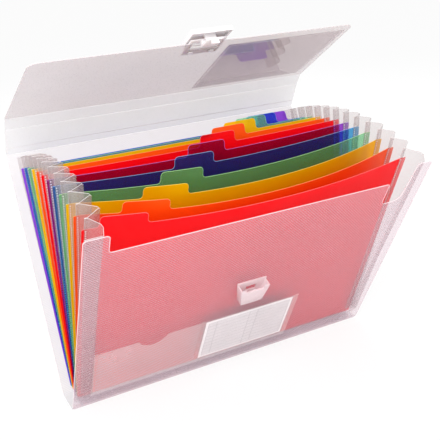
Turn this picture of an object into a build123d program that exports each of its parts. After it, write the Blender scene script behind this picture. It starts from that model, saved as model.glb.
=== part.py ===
"""Accordion file folder: a creased cover, a fan of tabbed dividers, pleated sides, a flap with its latch.

Millimetres, Z up, the front towards -Y. The origin is the middle of the base panel's underside, and
the folder stands open, with its flap raised.
"""

import math
import os

from build123d import *

# the cover: one creased sheet in the real folder, one leaf for each stretch between two creases
cover_width = 330.0
cover_sheet = 0.8
crease_gap = 0.3
cover_corner = 3.0
base_depth = 28.6
front_height = 234.5
back_rise = 5.5
front_angle = 27.8
back_angle = 23.2

# the top edge of the front cover, from the left shoulder to the slot at the right
shoulder_rise = 19.0
left_shoulder = 21.0
right_shoulder = 15.5
right_shoulder_flare = 4.0
slot_depth = 25.5
slot_width = 21.0
slot_curve = 9.0

# the flap: its length in each stretch, its lean when open and when the folder is shut
roof_length = 30.0
strip_length = 14.0
flap_length = 119.5
flap_taper = 5.0
flap_corner = 9.0
flap_notch_width = 29.0
flap_notch_depth = 12.5
roof_angle = 25.0
strip_angle = 32.5
flap_angle = 59.0
roof_shut_angle = 55.0
strip_shut_angle = 111.0

# the dividers and the ribbed pocket floor that they stand on
pocket_count = 13
fan_bias_share = 0.15
divider_sheet = 0.3
divider_inset = 7.5
divider_drop = 10.5
divider_corner = 3.5
tab_rise = 11.0
tab_width = 37.0
tab_inset = 21.5
comb_sheet = 0.3
comb_height = 10.0
comb_inset = 9.0

# the side pleats: the film, the lines where its edges are welded, and the free fold between them,
# which points inward at the left end of a pocket and outward at its right end
pleat_film = 0.2
pleat_weld_inset = 12.0
pleat_depth = 11.0
pleat_reach = 11.5
pleat_flange = 2.5
pleat_start = 13.5
pleat_section_shares = (0, 0.06, 0.16, 0.35, 1)
pleat_rise = 11.5
pleat_clearance = 0.15
cover_flange_inset = 1.0
cover_flange_width = 18.0
cover_fold_inset = 5.0
cover_weld_inset = 9.0
cover_weld_width = 6.0

# the clear film pockets and the ruled card
film = 0.2
film_weld = 4.0
pocket_room = 0.4
pocket_margin = 16.5
pocket_width = 213.0
pocket_floor = 16.0
pocket_below_catch = 23.4
cell_width = 107.5
thumb_inset = 56.5
thumb_radius = 15.0
thumb_lift = 5.0
card_sheet = 0.25
card_width = 96.0
card_drop = 8.0
card_clearance = 1.5
flap_pocket_offset = 26.0
flap_pocket_margin = 10.0
flap_pocket_start = 9.0
flap_pocket_end_margin = 10.5

# the catch on the front cover
catch_below_flap = 6.0
catch_height = 21.0
catch_lip = 2.3
catch_wall = 1.4
catch_rim_width = 30.0
catch_floor_width = 22.5
catch_rim_depth = 9.2
catch_floor_depth = 8.6
catch_window_width = 10.5
catch_window_drop = 4.0
catch_window_height = 6.0
catch_notch_width = 19.0
catch_notch_depth = 3.2

# the latch on the flap
latch_plate = 1.2
latch_width = 35.6
latch_back = 23.5
latch_neck_gap = 0.3
latch_rim_clearance = 1.0
tongue_width = 16.0
tongue_sheet = 1.4
tongue_standoff = 4.4
tongue_reach = 9.0
tooth_width = 7.0
tooth_height = 3.0
tooth_setback = 0.5
tooth_bite = 0.6
ear_thickness = 2.4
ear_radius = 1.75
ear_setback = 11.5
pin_radius = 0.9
pin_lift = 2.2
lever_wall = 1.4
lever_side_gap = 0.4
lever_lift = 2.1
lever_reach = 9.5
lever_lip = 2.6
nib_width = 11.0
nib_height = 2.0
nib_drop = 0.4
nib_bite = 0.9
rib_count = 3
rib_pitch = 3.0
rib_width = 1.2
rib_rise = 0.6
rib_length = 24.0
step_length = 7.0
step_inset = 2.0

# rivets and running clearance on every round face
rivet_radius = 1.5
rivet_head_radius = 2.6
rivet_head = 0.8
round_gap = 0.3
latch_rivet_spread = 21.0
latch_rivet_setback = 18.5
catch_rivet_spread = 11.0
catch_rivet_share = 0.28

half_sheet = cover_sheet / 2
half_width = cover_width / 2
half_depth = base_depth / 2
across = Axis.X.direction

# what follows from the cover's size
back_height = front_height + back_rise
main_edge = front_height - shoulder_rise
slot_floor = main_edge - slot_depth
divider_width = cover_width - divider_inset * 2
divider_top = front_height - divider_drop
tab_span = cover_width - tab_inset * 2
comb_width = cover_width - comb_inset * 2
pleat_weld = half_width - pleat_weld_inset
pleat_fold = pleat_weld - pleat_depth
pleat_outer_fold = pleat_weld + pleat_reach
pleat_top = divider_top + pleat_rise
cover_flange_outer = half_width - cover_flange_inset
cover_flange_inner = cover_flange_outer - cover_flange_width
cover_weld = half_width - cover_weld_inset


def rise(lean):
    """The direction up a leaf that leans to the front by this many degrees, in Y and Z."""
    return -math.sin(math.radians(lean)), math.cos(math.radians(lean))


def facing(lean):
    """The direction out of that leaf's front face, in Y and Z."""
    return -math.cos(math.radians(lean)), -math.sin(math.radians(lean))


def leaf_point(foot, lean, up, out=0):
    """A point in Y and Z, so far up a leaf from its crease and so far out of its front face."""
    along, normal = rise(lean), facing(lean)
    return tuple(foot[i] + up * along[i] + out * normal[i] for i in range(len(foot)))


def leaf_plane(foot, lean, up=0, out=0):
    """The plane of a leaf: x across the folder, y up the leaf, z out of its front face."""
    return Plane(origin=(0, *leaf_point(foot, lean, up, out)), x_dir=across, z_dir=(0, *facing(lean)))


def end_plane(foot, lean, across_at):
    """The plane of a leaf's side view: x up the leaf, y out of its front face, z across the folder."""
    return Plane(origin=(across_at, *foot), x_dir=(0, *rise(lean)), z_dir=across)


def level_plane(foot, lean, up):
    """The plane square to a leaf at a height: x across the folder, y out of its front face."""
    down = tuple(-c for c in rise(lean))
    return Plane(origin=(0, *leaf_point(foot, lean, up)), x_dir=across, z_dir=(0, *down))


def add_crease(foot, radius, length):
    """The rounded edge of a leaf, on the axis that it turns about."""
    with BuildSketch(Plane.YZ.offset(-length / 2)) as rod:
        with Locations(foot):
            Circle(radius)
    extrude(rod.sketch, amount=length)


def drill(plane, spots, radius, depth):
    """Round holes through a leaf, to a depth on both sides of the plane."""
    with BuildSketch(plane) as holes:
        with Locations(*spots):
            Circle(radius)
    extrude(holes.sketch, amount=depth, both=True, mode=Mode.SUBTRACT)


def block(plane, low, high, amount, mode=Mode.ADD):
    """A straight block over the rectangle between two corners of a plane."""
    centre = ((low[0] + high[0]) / 2, (low[1] + high[1]) / 2)
    with BuildSketch(plane) as face:
        with Locations(centre):
            Rectangle(high[0] - low[0], high[1] - low[1])
    extrude(face.sketch, amount=amount, mode=mode)


# where each leaf turns
front_foot = (-half_depth, half_sheet)
back_foot = (half_depth, half_sheet)
roof_foot = leaf_point(back_foot, -back_angle, back_height)
strip_foot = leaf_point(roof_foot, roof_angle, roof_length)
flap_foot = leaf_point(strip_foot, strip_angle, strip_length)

# where the flap hangs over the front cover when the folder is shut, measured from that cover
shut_roof = leaf_point(back_foot, 0, back_height)
shut_strip = leaf_point(shut_roof, roof_shut_angle, roof_length)
shut_flap = leaf_point(shut_strip, strip_shut_angle, strip_length)
shut_standoff = front_foot[0] - shut_flap[0]
shut_flap_height = shut_flap[1] - half_sheet
rim_on_flap = flap_length + catch_below_flap
catch_rim = shut_flap_height - rim_on_flap
catch_floor = catch_rim - catch_height

# the walls of the pockets, from the front cover over the dividers to the back cover; the dividers
# stand a little further back than an even fan
divider_count = pocket_count - 1
pocket_pitch = base_depth / pocket_count
fan_angle = front_angle + back_angle
divider_foot_height = comb_height + divider_sheet / 2
walls = [(front_foot, front_angle, half_sheet, 0)]
for number in range(1, pocket_count):
    foot = (-half_depth + pocket_pitch * number, divider_foot_height)
    even = number / pocket_count
    lean = front_angle - fan_angle * (even + fan_bias_share * even * (1 - even))
    walls.append((foot, lean, divider_sheet / 2, divider_foot_height))
walls.append((back_foot, -back_angle, half_sheet, 0))


def wall_point(index, height, side):
    """A point on the front (side 1) or rear (side -1) face of a pocket wall, at a height of the cover."""
    foot, lean, half, start = walls[index]
    return leaf_point(foot, lean, height - start, side * half)


os.makedirs("parts", exist_ok=True)


def save(part, name):
    part.label = name.replace("_", " ")
    export_step(part, "parts/" + name + ".step")


# base panel, ending a little short of the creases of the two covers
base_half = half_depth - half_sheet - crease_gap
with BuildPart() as base_panel:
    block(Plane.XY, (-half_width, -base_half), (half_width, base_half), cover_sheet)
save(base_panel.part, "base_panel")

# pocket floor: a thin strip with one low rib under each divider
comb_half = base_half - cover_sheet
rib_top = comb_height - crease_gap
with BuildPart() as floor_comb:
    comb_end = Plane.YZ.offset(-comb_width / 2)
    block(comb_end, (-comb_half, cover_sheet), (comb_half, cover_sheet + comb_sheet), comb_width)
    for foot, lean, half, start in walls[1:-1]:
        block(comb_end, (foot[0] - half, cover_sheet), (foot[0] + half, rib_top), comb_width)
save(floor_comb.part, "floor_comb")

# front cover
slot_right = half_width - right_shoulder
slot_left = slot_right - right_shoulder_flare - slot_width
front_outline = [
    (-half_width, 0),
    (half_width, 0),
    (half_width, front_height),
    (slot_right, front_height),
    (slot_right - right_shoulder_flare, slot_floor),
    (slot_left, slot_floor),
    (slot_left, main_edge),
    (-half_width + left_shoulder, main_edge),
    (-half_width + left_shoulder, front_height),
    (-half_width, front_height),
]
front_corners = [slot_curve if point[0] == slot_right - right_shoulder_flare else cover_corner
                 for point in front_outline]
catch_rivet_height = catch_floor + (catch_rim - catch_floor) * catch_rivet_share
catch_rivets = [(side * catch_rivet_spread / 2, catch_rivet_height) for side in (-1, 1)]
with BuildPart() as front_cover:
    with BuildSketch(leaf_plane(front_foot, front_angle)):
        with BuildLine():
            FilletPolyline(*front_outline, radius=front_corners, close=True)
        make_face()
    extrude(amount=half_sheet, both=True)
    add_crease(front_foot, half_sheet, cover_width - cover_corner * 2)
    drill(leaf_plane(front_foot, front_angle), catch_rivets, rivet_radius + round_gap, cover_sheet)
save(front_cover.part, "front_cover")

# back cover, flap roof and flap strip: plain leaves between two creases
leaf_room = half_sheet + crease_gap


def plain_leaf(foot, lean, length):
    with BuildPart() as leaf:
        low, high = (-half_width, 0), (half_width, length - leaf_room)
        block(leaf_plane(foot, lean, 0, -half_sheet), low, high, cover_sheet)
        add_crease(foot, half_sheet, cover_width)
    return leaf.part


save(plain_leaf(back_foot, -back_angle, back_height), "back_cover")
save(plain_leaf(roof_foot, roof_angle, roof_length), "flap_roof")
save(plain_leaf(strip_foot, strip_angle, strip_length), "flap_strip")

# flap front, a little narrower at its free edge, with a notch under the latch
latch_rivet_height = flap_length - latch_rivet_setback
latch_rivets = [(side * latch_rivet_spread / 2, latch_rivet_height) for side in (-1, 1)]
flap_outline = [
    (-half_width, 0),
    (half_width, 0),
    (half_width - flap_taper, flap_length),
    (-half_width + flap_taper, flap_length),
]
flap_plane = leaf_plane(flap_foot, flap_angle)
notch_low = (-flap_notch_width / 2, flap_length - flap_notch_depth)
notch_high = (flap_notch_width / 2, flap_length)
with BuildPart() as flap_front:
    with BuildSketch(flap_plane) as outline:
        with BuildLine():
            Polyline(*flap_outline, close=True)
        make_face()
        fillet(outline.vertices().group_by(Axis.Y)[-1], flap_corner)
    extrude(amount=half_sheet, both=True)
    add_crease(flap_foot, half_sheet, cover_width)
    flap_back_plane = leaf_plane(flap_foot, flap_angle, 0, -half_sheet)
    block(flap_back_plane, notch_low, notch_high, cover_sheet, Mode.SUBTRACT)
    drill(flap_plane, latch_rivets, rivet_radius + round_gap, cover_sheet)
save(flap_front.part, "flap_front")

# flap pocket: a film welded along three edges to the inner face, open towards the crease
with BuildPart() as flap_pocket:
    weld_plane = leaf_plane(flap_foot, flap_angle, 0, half_sheet)
    film_plane = leaf_plane(flap_foot, flap_angle, 0, half_sheet + pocket_room)
    low = (flap_pocket_offset, flap_pocket_start)
    high = (half_width - flap_pocket_margin, flap_length - flap_pocket_end_margin)
    block(weld_plane, low, (low[0] + film_weld, high[1]), pocket_room)
    block(weld_plane, (high[0] - film_weld, low[1]), high, pocket_room)
    block(weld_plane, (low[0], high[1] - film_weld), high, pocket_room)
    block(film_plane, low, high, film)
save(flap_pocket.part, "flap_pocket")

# front pocket: the same film with two cells, and a thumb cut in the left one
pocket_left = -half_width + pocket_margin
pocket_height = catch_floor - pocket_below_catch - pocket_floor
pocket_split = pocket_left + cell_width
with BuildPart() as front_pocket:
    weld_plane = leaf_plane(front_foot, front_angle, 0, half_sheet)
    film_plane = leaf_plane(front_foot, front_angle, 0, half_sheet + pocket_room)
    low = (pocket_left, pocket_floor)
    high = (pocket_left + pocket_width, pocket_floor + pocket_height)
    block(weld_plane, low, (low[0] + film_weld, high[1]), pocket_room)
    block(weld_plane, (high[0] - film_weld, low[1]), high, pocket_room)
    block(weld_plane, low, (high[0], low[1] + film_weld), pocket_room)
    split_low = (pocket_split - film_weld / 2, low[1])
    block(weld_plane, split_low, (pocket_split + film_weld / 2, high[1]), pocket_room)
    block(film_plane, low, high, film)
    with BuildSketch(film_plane):
        with Locations((pocket_left + thumb_inset, high[1] + thumb_lift)):
            Circle(thumb_radius)
    extrude(amount=film, mode=Mode.SUBTRACT)
save(front_pocket.part, "front_pocket")

# index card, in the right cell, flat on the cover
card_left = pocket_split + film_weld / 2 + card_clearance
card_low = pocket_floor + film_weld + card_clearance
card_height = pocket_height - card_drop
with BuildPart() as index_card:
    card_plane = leaf_plane(front_foot, front_angle, 0, half_sheet)
    block(card_plane, (card_left, card_low), (card_left + card_width, card_low + card_height), card_sheet)
save(index_card.part, "index_card")


def catch_section(height, width, inner, outer):
    """A level rectangle of the catch, from its inner to its outer distance from the front cover."""
    with BuildSketch(level_plane(front_foot, front_angle, height)) as level:
        with Locations((0, (inner + outer) / 2)):
            Rectangle(width, outer - inner)
    return level.sketch


# catch box: a tapered box with an open top and a lip on its back wall, a window in the back wall for the
# latch's tooth and a notch in the front wall for the lever's nib
catch_face = half_sheet + catch_wall
inside_rim = catch_rim_width - catch_wall * 2
inside_floor = catch_floor_width - catch_wall * 2
window_high = catch_rim - catch_window_drop
with BuildPart() as catch_box:
    plate_plane = leaf_plane(front_foot, front_angle, 0, half_sheet)
    lip_low = (-catch_rim_width / 2, catch_rim)
    block(plate_plane, lip_low, (catch_rim_width / 2, catch_rim + catch_lip), catch_wall)
    outside = (
        catch_section(catch_floor, catch_floor_width, half_sheet, half_sheet + catch_floor_depth),
        catch_section(catch_rim, catch_rim_width, half_sheet, half_sheet + catch_rim_depth),
    )
    loft(outside, ruled=True)
    hollow_floor = catch_floor + catch_wall
    hollow = (
        catch_section(hollow_floor, inside_floor, catch_face, half_sheet + catch_floor_depth - catch_wall),
        catch_section(catch_rim, inside_rim, catch_face, half_sheet + catch_rim_depth - catch_wall),
    )
    loft(hollow, ruled=True, mode=Mode.SUBTRACT)
    window_low = (-catch_window_width / 2, window_high - catch_window_height)
    block(plate_plane, window_low, (catch_window_width / 2, window_high), catch_wall, Mode.SUBTRACT)
    cut_plane = leaf_plane(front_foot, front_angle, 0, catch_face + catch_wall)
    cut_low = (-catch_notch_width / 2, catch_rim - catch_notch_depth)
    block(cut_plane, cut_low, (catch_notch_width / 2, catch_rim), catch_rim_depth, Mode.SUBTRACT)
    drill(leaf_plane(front_foot, front_angle, 0, half_sheet + catch_wall / 2), catch_rivets,
          rivet_radius + round_gap, catch_wall)
save(catch_box.part, "catch_box")


def rivet(foot, lean, spot, inner, outer):
    """A rivet through a leaf, its heads lying on the faces at these distances from its middle."""
    with BuildPart() as body:
        for start, length, radius in (
            (inner, outer - inner, rivet_radius),
            (outer, rivet_head, rivet_head_radius),
            (inner - rivet_head, rivet_head, rivet_head_radius),
        ):
            with BuildSketch(leaf_plane(foot, lean, 0, start)):
                with Locations(spot):
                    Circle(radius)
            extrude(amount=length)
    return body.part


for spot, side in zip(catch_rivets, ("left", "right")):
    save(rivet(front_foot, front_angle, spot, -half_sheet, catch_face), "catch_rivet_" + side)

# latch base: a frame on the outer face of the flap around its notch, ears for the pin, and a tongue with
# a tooth for the catch
tongue_inset = shut_standoff - tongue_standoff
tooth_tip = shut_standoff - catch_face + tooth_bite
neck_start = flap_length + latch_neck_gap
neck_end = rim_on_flap - latch_rim_clearance
pin_up = flap_length - ear_setback
pin_out = half_sheet + pin_lift
outer_plane = leaf_plane(flap_foot, flap_angle, 0, -half_sheet)
with BuildPart() as latch_base:
    plate_low = (-latch_width / 2, flap_length - latch_back)
    block(outer_plane, plate_low, (latch_width / 2, neck_end), -latch_plate)
    block(outer_plane, notch_low, notch_high, -latch_plate, Mode.SUBTRACT)
    neck_plane = leaf_plane(flap_foot, flap_angle, 0, tongue_inset)
    block(neck_plane, (-tongue_width / 2, neck_start), (tongue_width / 2, neck_end),
          -tongue_inset - half_sheet - latch_plate)
    tongue_end = rim_on_flap + tongue_reach
    block(neck_plane, (-tongue_width / 2, neck_start), (tongue_width / 2, tongue_end), -tongue_sheet)
    tooth_end = tongue_end - tooth_setback
    block(neck_plane, (-tooth_width / 2, tooth_end - tooth_height), (tooth_width / 2, tooth_end),
          tooth_tip - tongue_inset)
    for side in (-1, 1):
        ear_at = latch_width / 2 - ear_thickness if side > 0 else -latch_width / 2
        with BuildSketch(end_plane(flap_foot, flap_angle, ear_at)):
            with Locations((pin_up, -pin_out)):
                Circle(ear_radius)
            ear_middle = (half_sheet + latch_plate / 2 + pin_out) / 2
            with Locations((pin_up, -ear_middle)):
                Rectangle(ear_radius * 2, pin_out - half_sheet - latch_plate / 2)
        extrude(amount=ear_thickness)
    with BuildSketch(end_plane(flap_foot, flap_angle, -latch_width / 2)):
        with Locations((pin_up, -pin_out)):
            Circle(pin_radius + round_gap)
    extrude(amount=latch_width, mode=Mode.SUBTRACT)
    drill(outer_plane, latch_rivets, rivet_radius + round_gap, latch_plate)
save(latch_base.part, "latch_base")
for spot, side in zip(latch_rivets, ("left", "right")):
    rivet_part = rivet(flap_foot, flap_angle, spot, -half_sheet - latch_plate, half_sheet)
    save(rivet_part, "latch_rivet_" + side)

# latch lever: a hollow cap that turns on the pin, with a nib for the catch's notch
lever_inner = pin_out + lever_lift
lever_outer = lever_inner + lever_wall
lever_low = pin_up - ear_radius
lever_high = rim_on_flap + lever_reach
lever_half = latch_width / 2 + lever_side_gap + lever_wall
nib_top = rim_on_flap + nib_drop
nib_tip = half_sheet + catch_rim_depth - nib_bite - shut_standoff
with BuildPart() as latch_lever:
    cap_plane = leaf_plane(flap_foot, flap_angle, 0, -lever_inner)
    block(cap_plane, (-lever_half, lever_low), (lever_half, lever_high), -lever_wall)
    for start in (-lever_half, lever_half - lever_wall):
        with BuildSketch(end_plane(flap_foot, flap_angle, start)):
            with BuildLine():
                Polyline(
                    (lever_low, -lever_inner),
                    (lever_low, -pin_out),
                    (lever_high, -lever_inner + lever_lip),
                    (lever_high, -lever_inner),
                    close=True,
                )
            make_face()
            with Locations((pin_up, -pin_out)):
                Circle(ear_radius)
        extrude(amount=lever_wall)
    block(cap_plane, (-lever_half, lever_high - lever_wall), (lever_half, lever_high), lever_lip)
    block(cap_plane, (-nib_width / 2, nib_top), (nib_width / 2, nib_top + nib_height), lever_inner - nib_tip)
    for number in range(rib_count):
        rib_at = lever_high - lever_wall - rib_pitch * (number + 1)
        rib_plane = leaf_plane(flap_foot, flap_angle, 0, -lever_outer)
        block(rib_plane, (-rib_length / 2, rib_at), (rib_length / 2, rib_at + rib_width), -rib_rise)
        step_left = -lever_half + lever_wall
        step_right = step_left + step_length - step_inset * number
        step_rise = rib_rise * (rib_count - number)
        block(cap_plane, (step_left, rib_at), (step_right, rib_at + rib_width), step_rise)
    with BuildSketch(end_plane(flap_foot, flap_angle, -lever_half)):
        with Locations((pin_up, -pin_out)):
            Circle(pin_radius + round_gap)
    extrude(amount=lever_half * 2, mode=Mode.SUBTRACT)
save(latch_lever.part, "latch_lever")

with BuildPart() as latch_pin:
    with BuildSketch(end_plane(flap_foot, flap_angle, -lever_half)):
        with Locations((pin_up, -pin_out)):
            Circle(pin_radius)
    extrude(amount=lever_half * 2)
save(latch_pin.part, "latch_pin")


def divider(number):
    """A divider with its tab, which steps from the left end at the front to the right end at the back."""
    foot, lean, half, start = walls[number]
    tab_left = -tab_span / 2 + (tab_span - tab_width) * (number - 1) / (divider_count - 1)
    top = divider_top - start
    side = divider_width / 2
    outline = [
        (-side, 0),
        (side, 0),
        (side, top),
        (tab_left + tab_width, top),
        (tab_left + tab_width, top + tab_rise),
        (tab_left, top + tab_rise),
        (tab_left, top),
        (-side, top),
    ]
    with BuildPart() as sheet:
        with BuildSketch(leaf_plane(foot, lean)):
            with BuildLine():
                FilletPolyline(*outline, radius=divider_corner, close=True)
            make_face()
        extrude(amount=half, both=True)
        add_crease(foot, half, divider_width - divider_corner * 2)
    return sheet.part


for number in range(1, pocket_count):
    save(divider(number), f"divider_{number:02d}")


def pleat_section(number, height):
    """The plane across a pocket at a height, from its front wall to its rear wall, and their distance."""
    front = wall_point(number - 1, height, -1)
    rear = wall_point(number, height, 1)
    gap = math.dist(front, rear)
    step = [(rear[i] - front[i]) / gap for i in range(len(front))]
    return Plane(origin=(0, *front), x_dir=across, z_dir=(0, -step[1], step[0])), gap


def pleat_outline(number, gap, side):
    """The V of a pleat: two flanges on the pocket's walls and two panels to the free fold."""
    room = gap - pleat_clearance
    middle = room / 2
    outward = side > 0
    away = -1 if outward else 1
    rear_weld, rear_end = pleat_weld, pleat_weld + away * pleat_flange
    front_weld, front_end = rear_weld, rear_end
    fold = pleat_outer_fold if outward else pleat_fold
    if number == 1 and outward:
        front_weld, front_end = cover_weld, cover_weld - cover_weld_width
    elif number == 1:
        front_weld, front_end, fold = cover_flange_inner, cover_flange_outer, pleat_fold - cover_fold_inset
    front_bend = math.atan2(middle, abs(front_weld - fold))
    rear_bend = math.atan2(middle, abs(rear_weld - fold))
    fold_film = away * pleat_film / math.sin((front_bend + rear_bend) / 2)
    front_film = away * pleat_film * math.tan(front_bend / 2)
    rear_film = away * pleat_film * math.tan(rear_bend / 2)
    outline = [
        (front_end, 0),
        (front_weld, 0),
        (fold, middle),
        (rear_weld, room),
        (rear_end, room),
        (rear_end, room - pleat_film),
        (rear_weld + rear_film, room - pleat_film),
        (fold + fold_film, middle),
        (front_weld + front_film, pleat_film),
        (front_end, pleat_film),
    ]
    return [(side * x, y) for x, y in outline]


def pleat(number, side):
    with BuildPart() as strip:
        for share in pleat_section_shares:
            plane, gap = pleat_section(number, pleat_start + (pleat_top - pleat_start) * share)
            with BuildSketch(plane):
                with BuildLine():
                    Polyline(*pleat_outline(number, gap, side), close=True)
                make_face()
        loft(ruled=True)
    return strip.part


for number in range(1, pocket_count + 1):
    save(pleat(number, -1), f"pleat_left_{number:02d}")
    save(pleat(number, 1), f"pleat_right_{number:02d}")
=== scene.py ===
"""Looks of the accordion file folder: frosted sheets, tinted dividers, clear pleats, moulded clip."""

import math

import bmesh
import bpy
from mathutils import Matrix, Vector


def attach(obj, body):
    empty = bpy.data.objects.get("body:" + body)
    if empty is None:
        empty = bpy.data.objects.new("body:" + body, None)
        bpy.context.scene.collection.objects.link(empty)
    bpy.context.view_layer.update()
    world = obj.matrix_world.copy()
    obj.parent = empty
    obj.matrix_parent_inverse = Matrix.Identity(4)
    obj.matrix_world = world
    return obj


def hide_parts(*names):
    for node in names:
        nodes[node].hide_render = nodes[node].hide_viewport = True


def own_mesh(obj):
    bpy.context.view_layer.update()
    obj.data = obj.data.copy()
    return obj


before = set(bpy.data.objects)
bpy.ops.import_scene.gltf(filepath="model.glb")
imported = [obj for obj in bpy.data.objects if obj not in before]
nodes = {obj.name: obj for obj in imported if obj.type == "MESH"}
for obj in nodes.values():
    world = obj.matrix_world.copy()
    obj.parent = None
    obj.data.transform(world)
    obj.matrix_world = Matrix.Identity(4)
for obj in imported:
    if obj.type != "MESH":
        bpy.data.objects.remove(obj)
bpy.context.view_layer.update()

# Sizes in metres, as the solids have them
MM = 0.001
SHEET = 0.8 * MM
HALF_WIDTH = 165 * MM
HALF_DEPTH = 14.3 * MM
FRONT_HEIGHT = 234.5 * MM
BACK_HEIGHT = 240 * MM
COVER_CORNER = 3 * MM
MAIN_EDGE = 215.5 * MM
LEFT_SHOULDER = 144 * MM
SLOT_LEFT, SLOT_RIGHT, SLOT_TOP_RIGHT = 124.5 * MM, 145.5 * MM, 149.5 * MM
SLOT_FLOOR = 190 * MM
SLOT_CURVE = 9 * MM
DIVIDER_TOP = 224 * MM
DIVIDER_HALF = 157.5 * MM
DIVIDER_SHEET = 0.3 * MM
DIVIDER_FOOT = 10.15 * MM
TAB_RISE = 11 * MM
TAB_WIDTH = 37 * MM
TAB_SPAN = 287 * MM
POCKETS = 13
FAN_BIAS = 0.15
FRONT_LEAN = 27.8
BACK_LEAN = 23.2
ROOF_LEAN, ROOF_LENGTH = 25.0, 30.0 * MM
STRIP_LEAN, STRIP_LENGTH = 32.5, 14.0 * MM
FLAP_LEAN, FLAP_LENGTH = 59.0, 119.5 * MM
FLAP_END_HALF = 160 * MM
FLAP_CORNER = 9 * MM
NOTCH_HALF, NOTCH_FLOOR = 14.5 * MM, 107 * MM
PLEAT_WELD = 153 * MM
PLEAT_FOLD = 139.5 * MM
PLEAT_OUTER_FOLD = 164.4 * MM
PLEAT_FLANGE = 2.5 * MM
PLEAT_START = 13.5 * MM
PLEAT_TOP = 235.5 * MM
CARD_LEFT, CARD_RIGHT = -37.5 * MM, 58.5 * MM
CARD_LOW, CARD_HIGH = 21.5 * MM, 79.8 * MM
CARD_SHEET = 0.25 * MM


def rise(lean):
    """Up a leaf that leans to the front by so many degrees."""
    return Vector((0, -math.sin(math.radians(lean)), math.cos(math.radians(lean))))


def facing(lean):
    """Out of the front face of that leaf."""
    return Vector((0, -math.cos(math.radians(lean)), -math.sin(math.radians(lean))))


class Leaf:
    """A flat leaf of the folder: its crease, its lean, and points on it."""

    def __init__(self, foot, lean, half=SHEET / 2, start=0.0):
        self.foot, self.lean, self.half, self.start = Vector(foot), lean, half, start

    def at(self, u, v, w=0.0):
        return self.foot + Vector((u, 0, 0)) + rise(self.lean) * v + facing(self.lean) * w

    def wall(self, height, side):
        """A point on the front (1) or rear (-1) face, at a height of the cover."""
        return self.at(0, height - self.start, side * self.half)


front = Leaf((0, -HALF_DEPTH, SHEET / 2), FRONT_LEAN)
back = Leaf((0, HALF_DEPTH, SHEET / 2), -BACK_LEAN)
roof = Leaf(back.at(0, BACK_HEIGHT), ROOF_LEAN)
strip = Leaf(roof.at(0, ROOF_LENGTH), STRIP_LEAN)
flap = Leaf(strip.at(0, STRIP_LENGTH), FLAP_LEAN)
walls = [front]
for k in range(1, POCKETS):
    foot = (0, -HALF_DEPTH + 2 * HALF_DEPTH * k / POCKETS, DIVIDER_FOOT)
    even = k / POCKETS
    lean = FRONT_LEAN - (FRONT_LEAN + BACK_LEAN) * (even + FAN_BIAS * even * (1 - even))
    walls.append(Leaf(foot, lean, DIVIDER_SHEET / 2, DIVIDER_FOOT))
walls.append(back)
body_of_wall = ["front"] + [f"divider_{k:02d}" for k in range(1, POCKETS)] + ["back"]


# Materials

RIBS_PER_METRE = 525
CLOUDS_PER_GRAIN = 0.04
GRAIN_SPREAD = 0.25
DARK_TONE, LIGHT_TONE = 0.93, 1.05
RIB_BUMP = 0.1
MIRROR_POWER = 4
BUMP_DISTANCE = 0.2 * MM


def shade(value):
    """A colour as it reads on a screen, as the shader wants it."""
    return tuple((c / 12.92 if c <= 0.04045 else ((c + 0.055) / 1.055) ** 2.4) for c in value)


def fine_ribbing_group():
    """Fine embossed lines across a sheet: a mask of 0 to 1 from a direction and a pitch."""
    group = bpy.data.node_groups.new("fine_ribbing", "ShaderNodeTree")
    group.interface.new_socket("Direction", in_out="INPUT", socket_type="NodeSocketVector")
    group.interface.new_socket("Lines per metre", in_out="INPUT", socket_type="NodeSocketFloat")
    group.interface.new_socket("Mask", in_out="OUTPUT", socket_type="NodeSocketFloat")
    make, link = group.nodes.new, group.links.new
    given, out, place = make("NodeGroupInput"), make("NodeGroupOutput"), make("ShaderNodeTexCoord")
    along, turns, angle = make("ShaderNodeVectorMath"), make("ShaderNodeMath"), make("ShaderNodeMath")
    wave, mask = make("ShaderNodeMath"), make("ShaderNodeMath")
    along.operation = "DOT_PRODUCT"
    turns.operation = angle.operation = "MULTIPLY"
    angle.inputs[1].default_value = 2 * math.pi
    wave.operation = "SINE"
    mask.operation = "MULTIPLY_ADD"
    mask.inputs[1].default_value = 0.5
    mask.inputs[2].default_value = 0.5
    link(place.outputs["Object"], along.inputs[0])
    link(given.outputs["Direction"], along.inputs[1])
    link(along.outputs["Value"], turns.inputs[0])
    link(given.outputs["Lines per metre"], turns.inputs[1])
    link(turns.outputs[0], angle.inputs[0])
    link(angle.outputs[0], wave.inputs[0])
    link(wave.outputs[0], mask.inputs[0])
    link(mask.outputs[0], out.inputs["Mask"])
    return group


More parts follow.
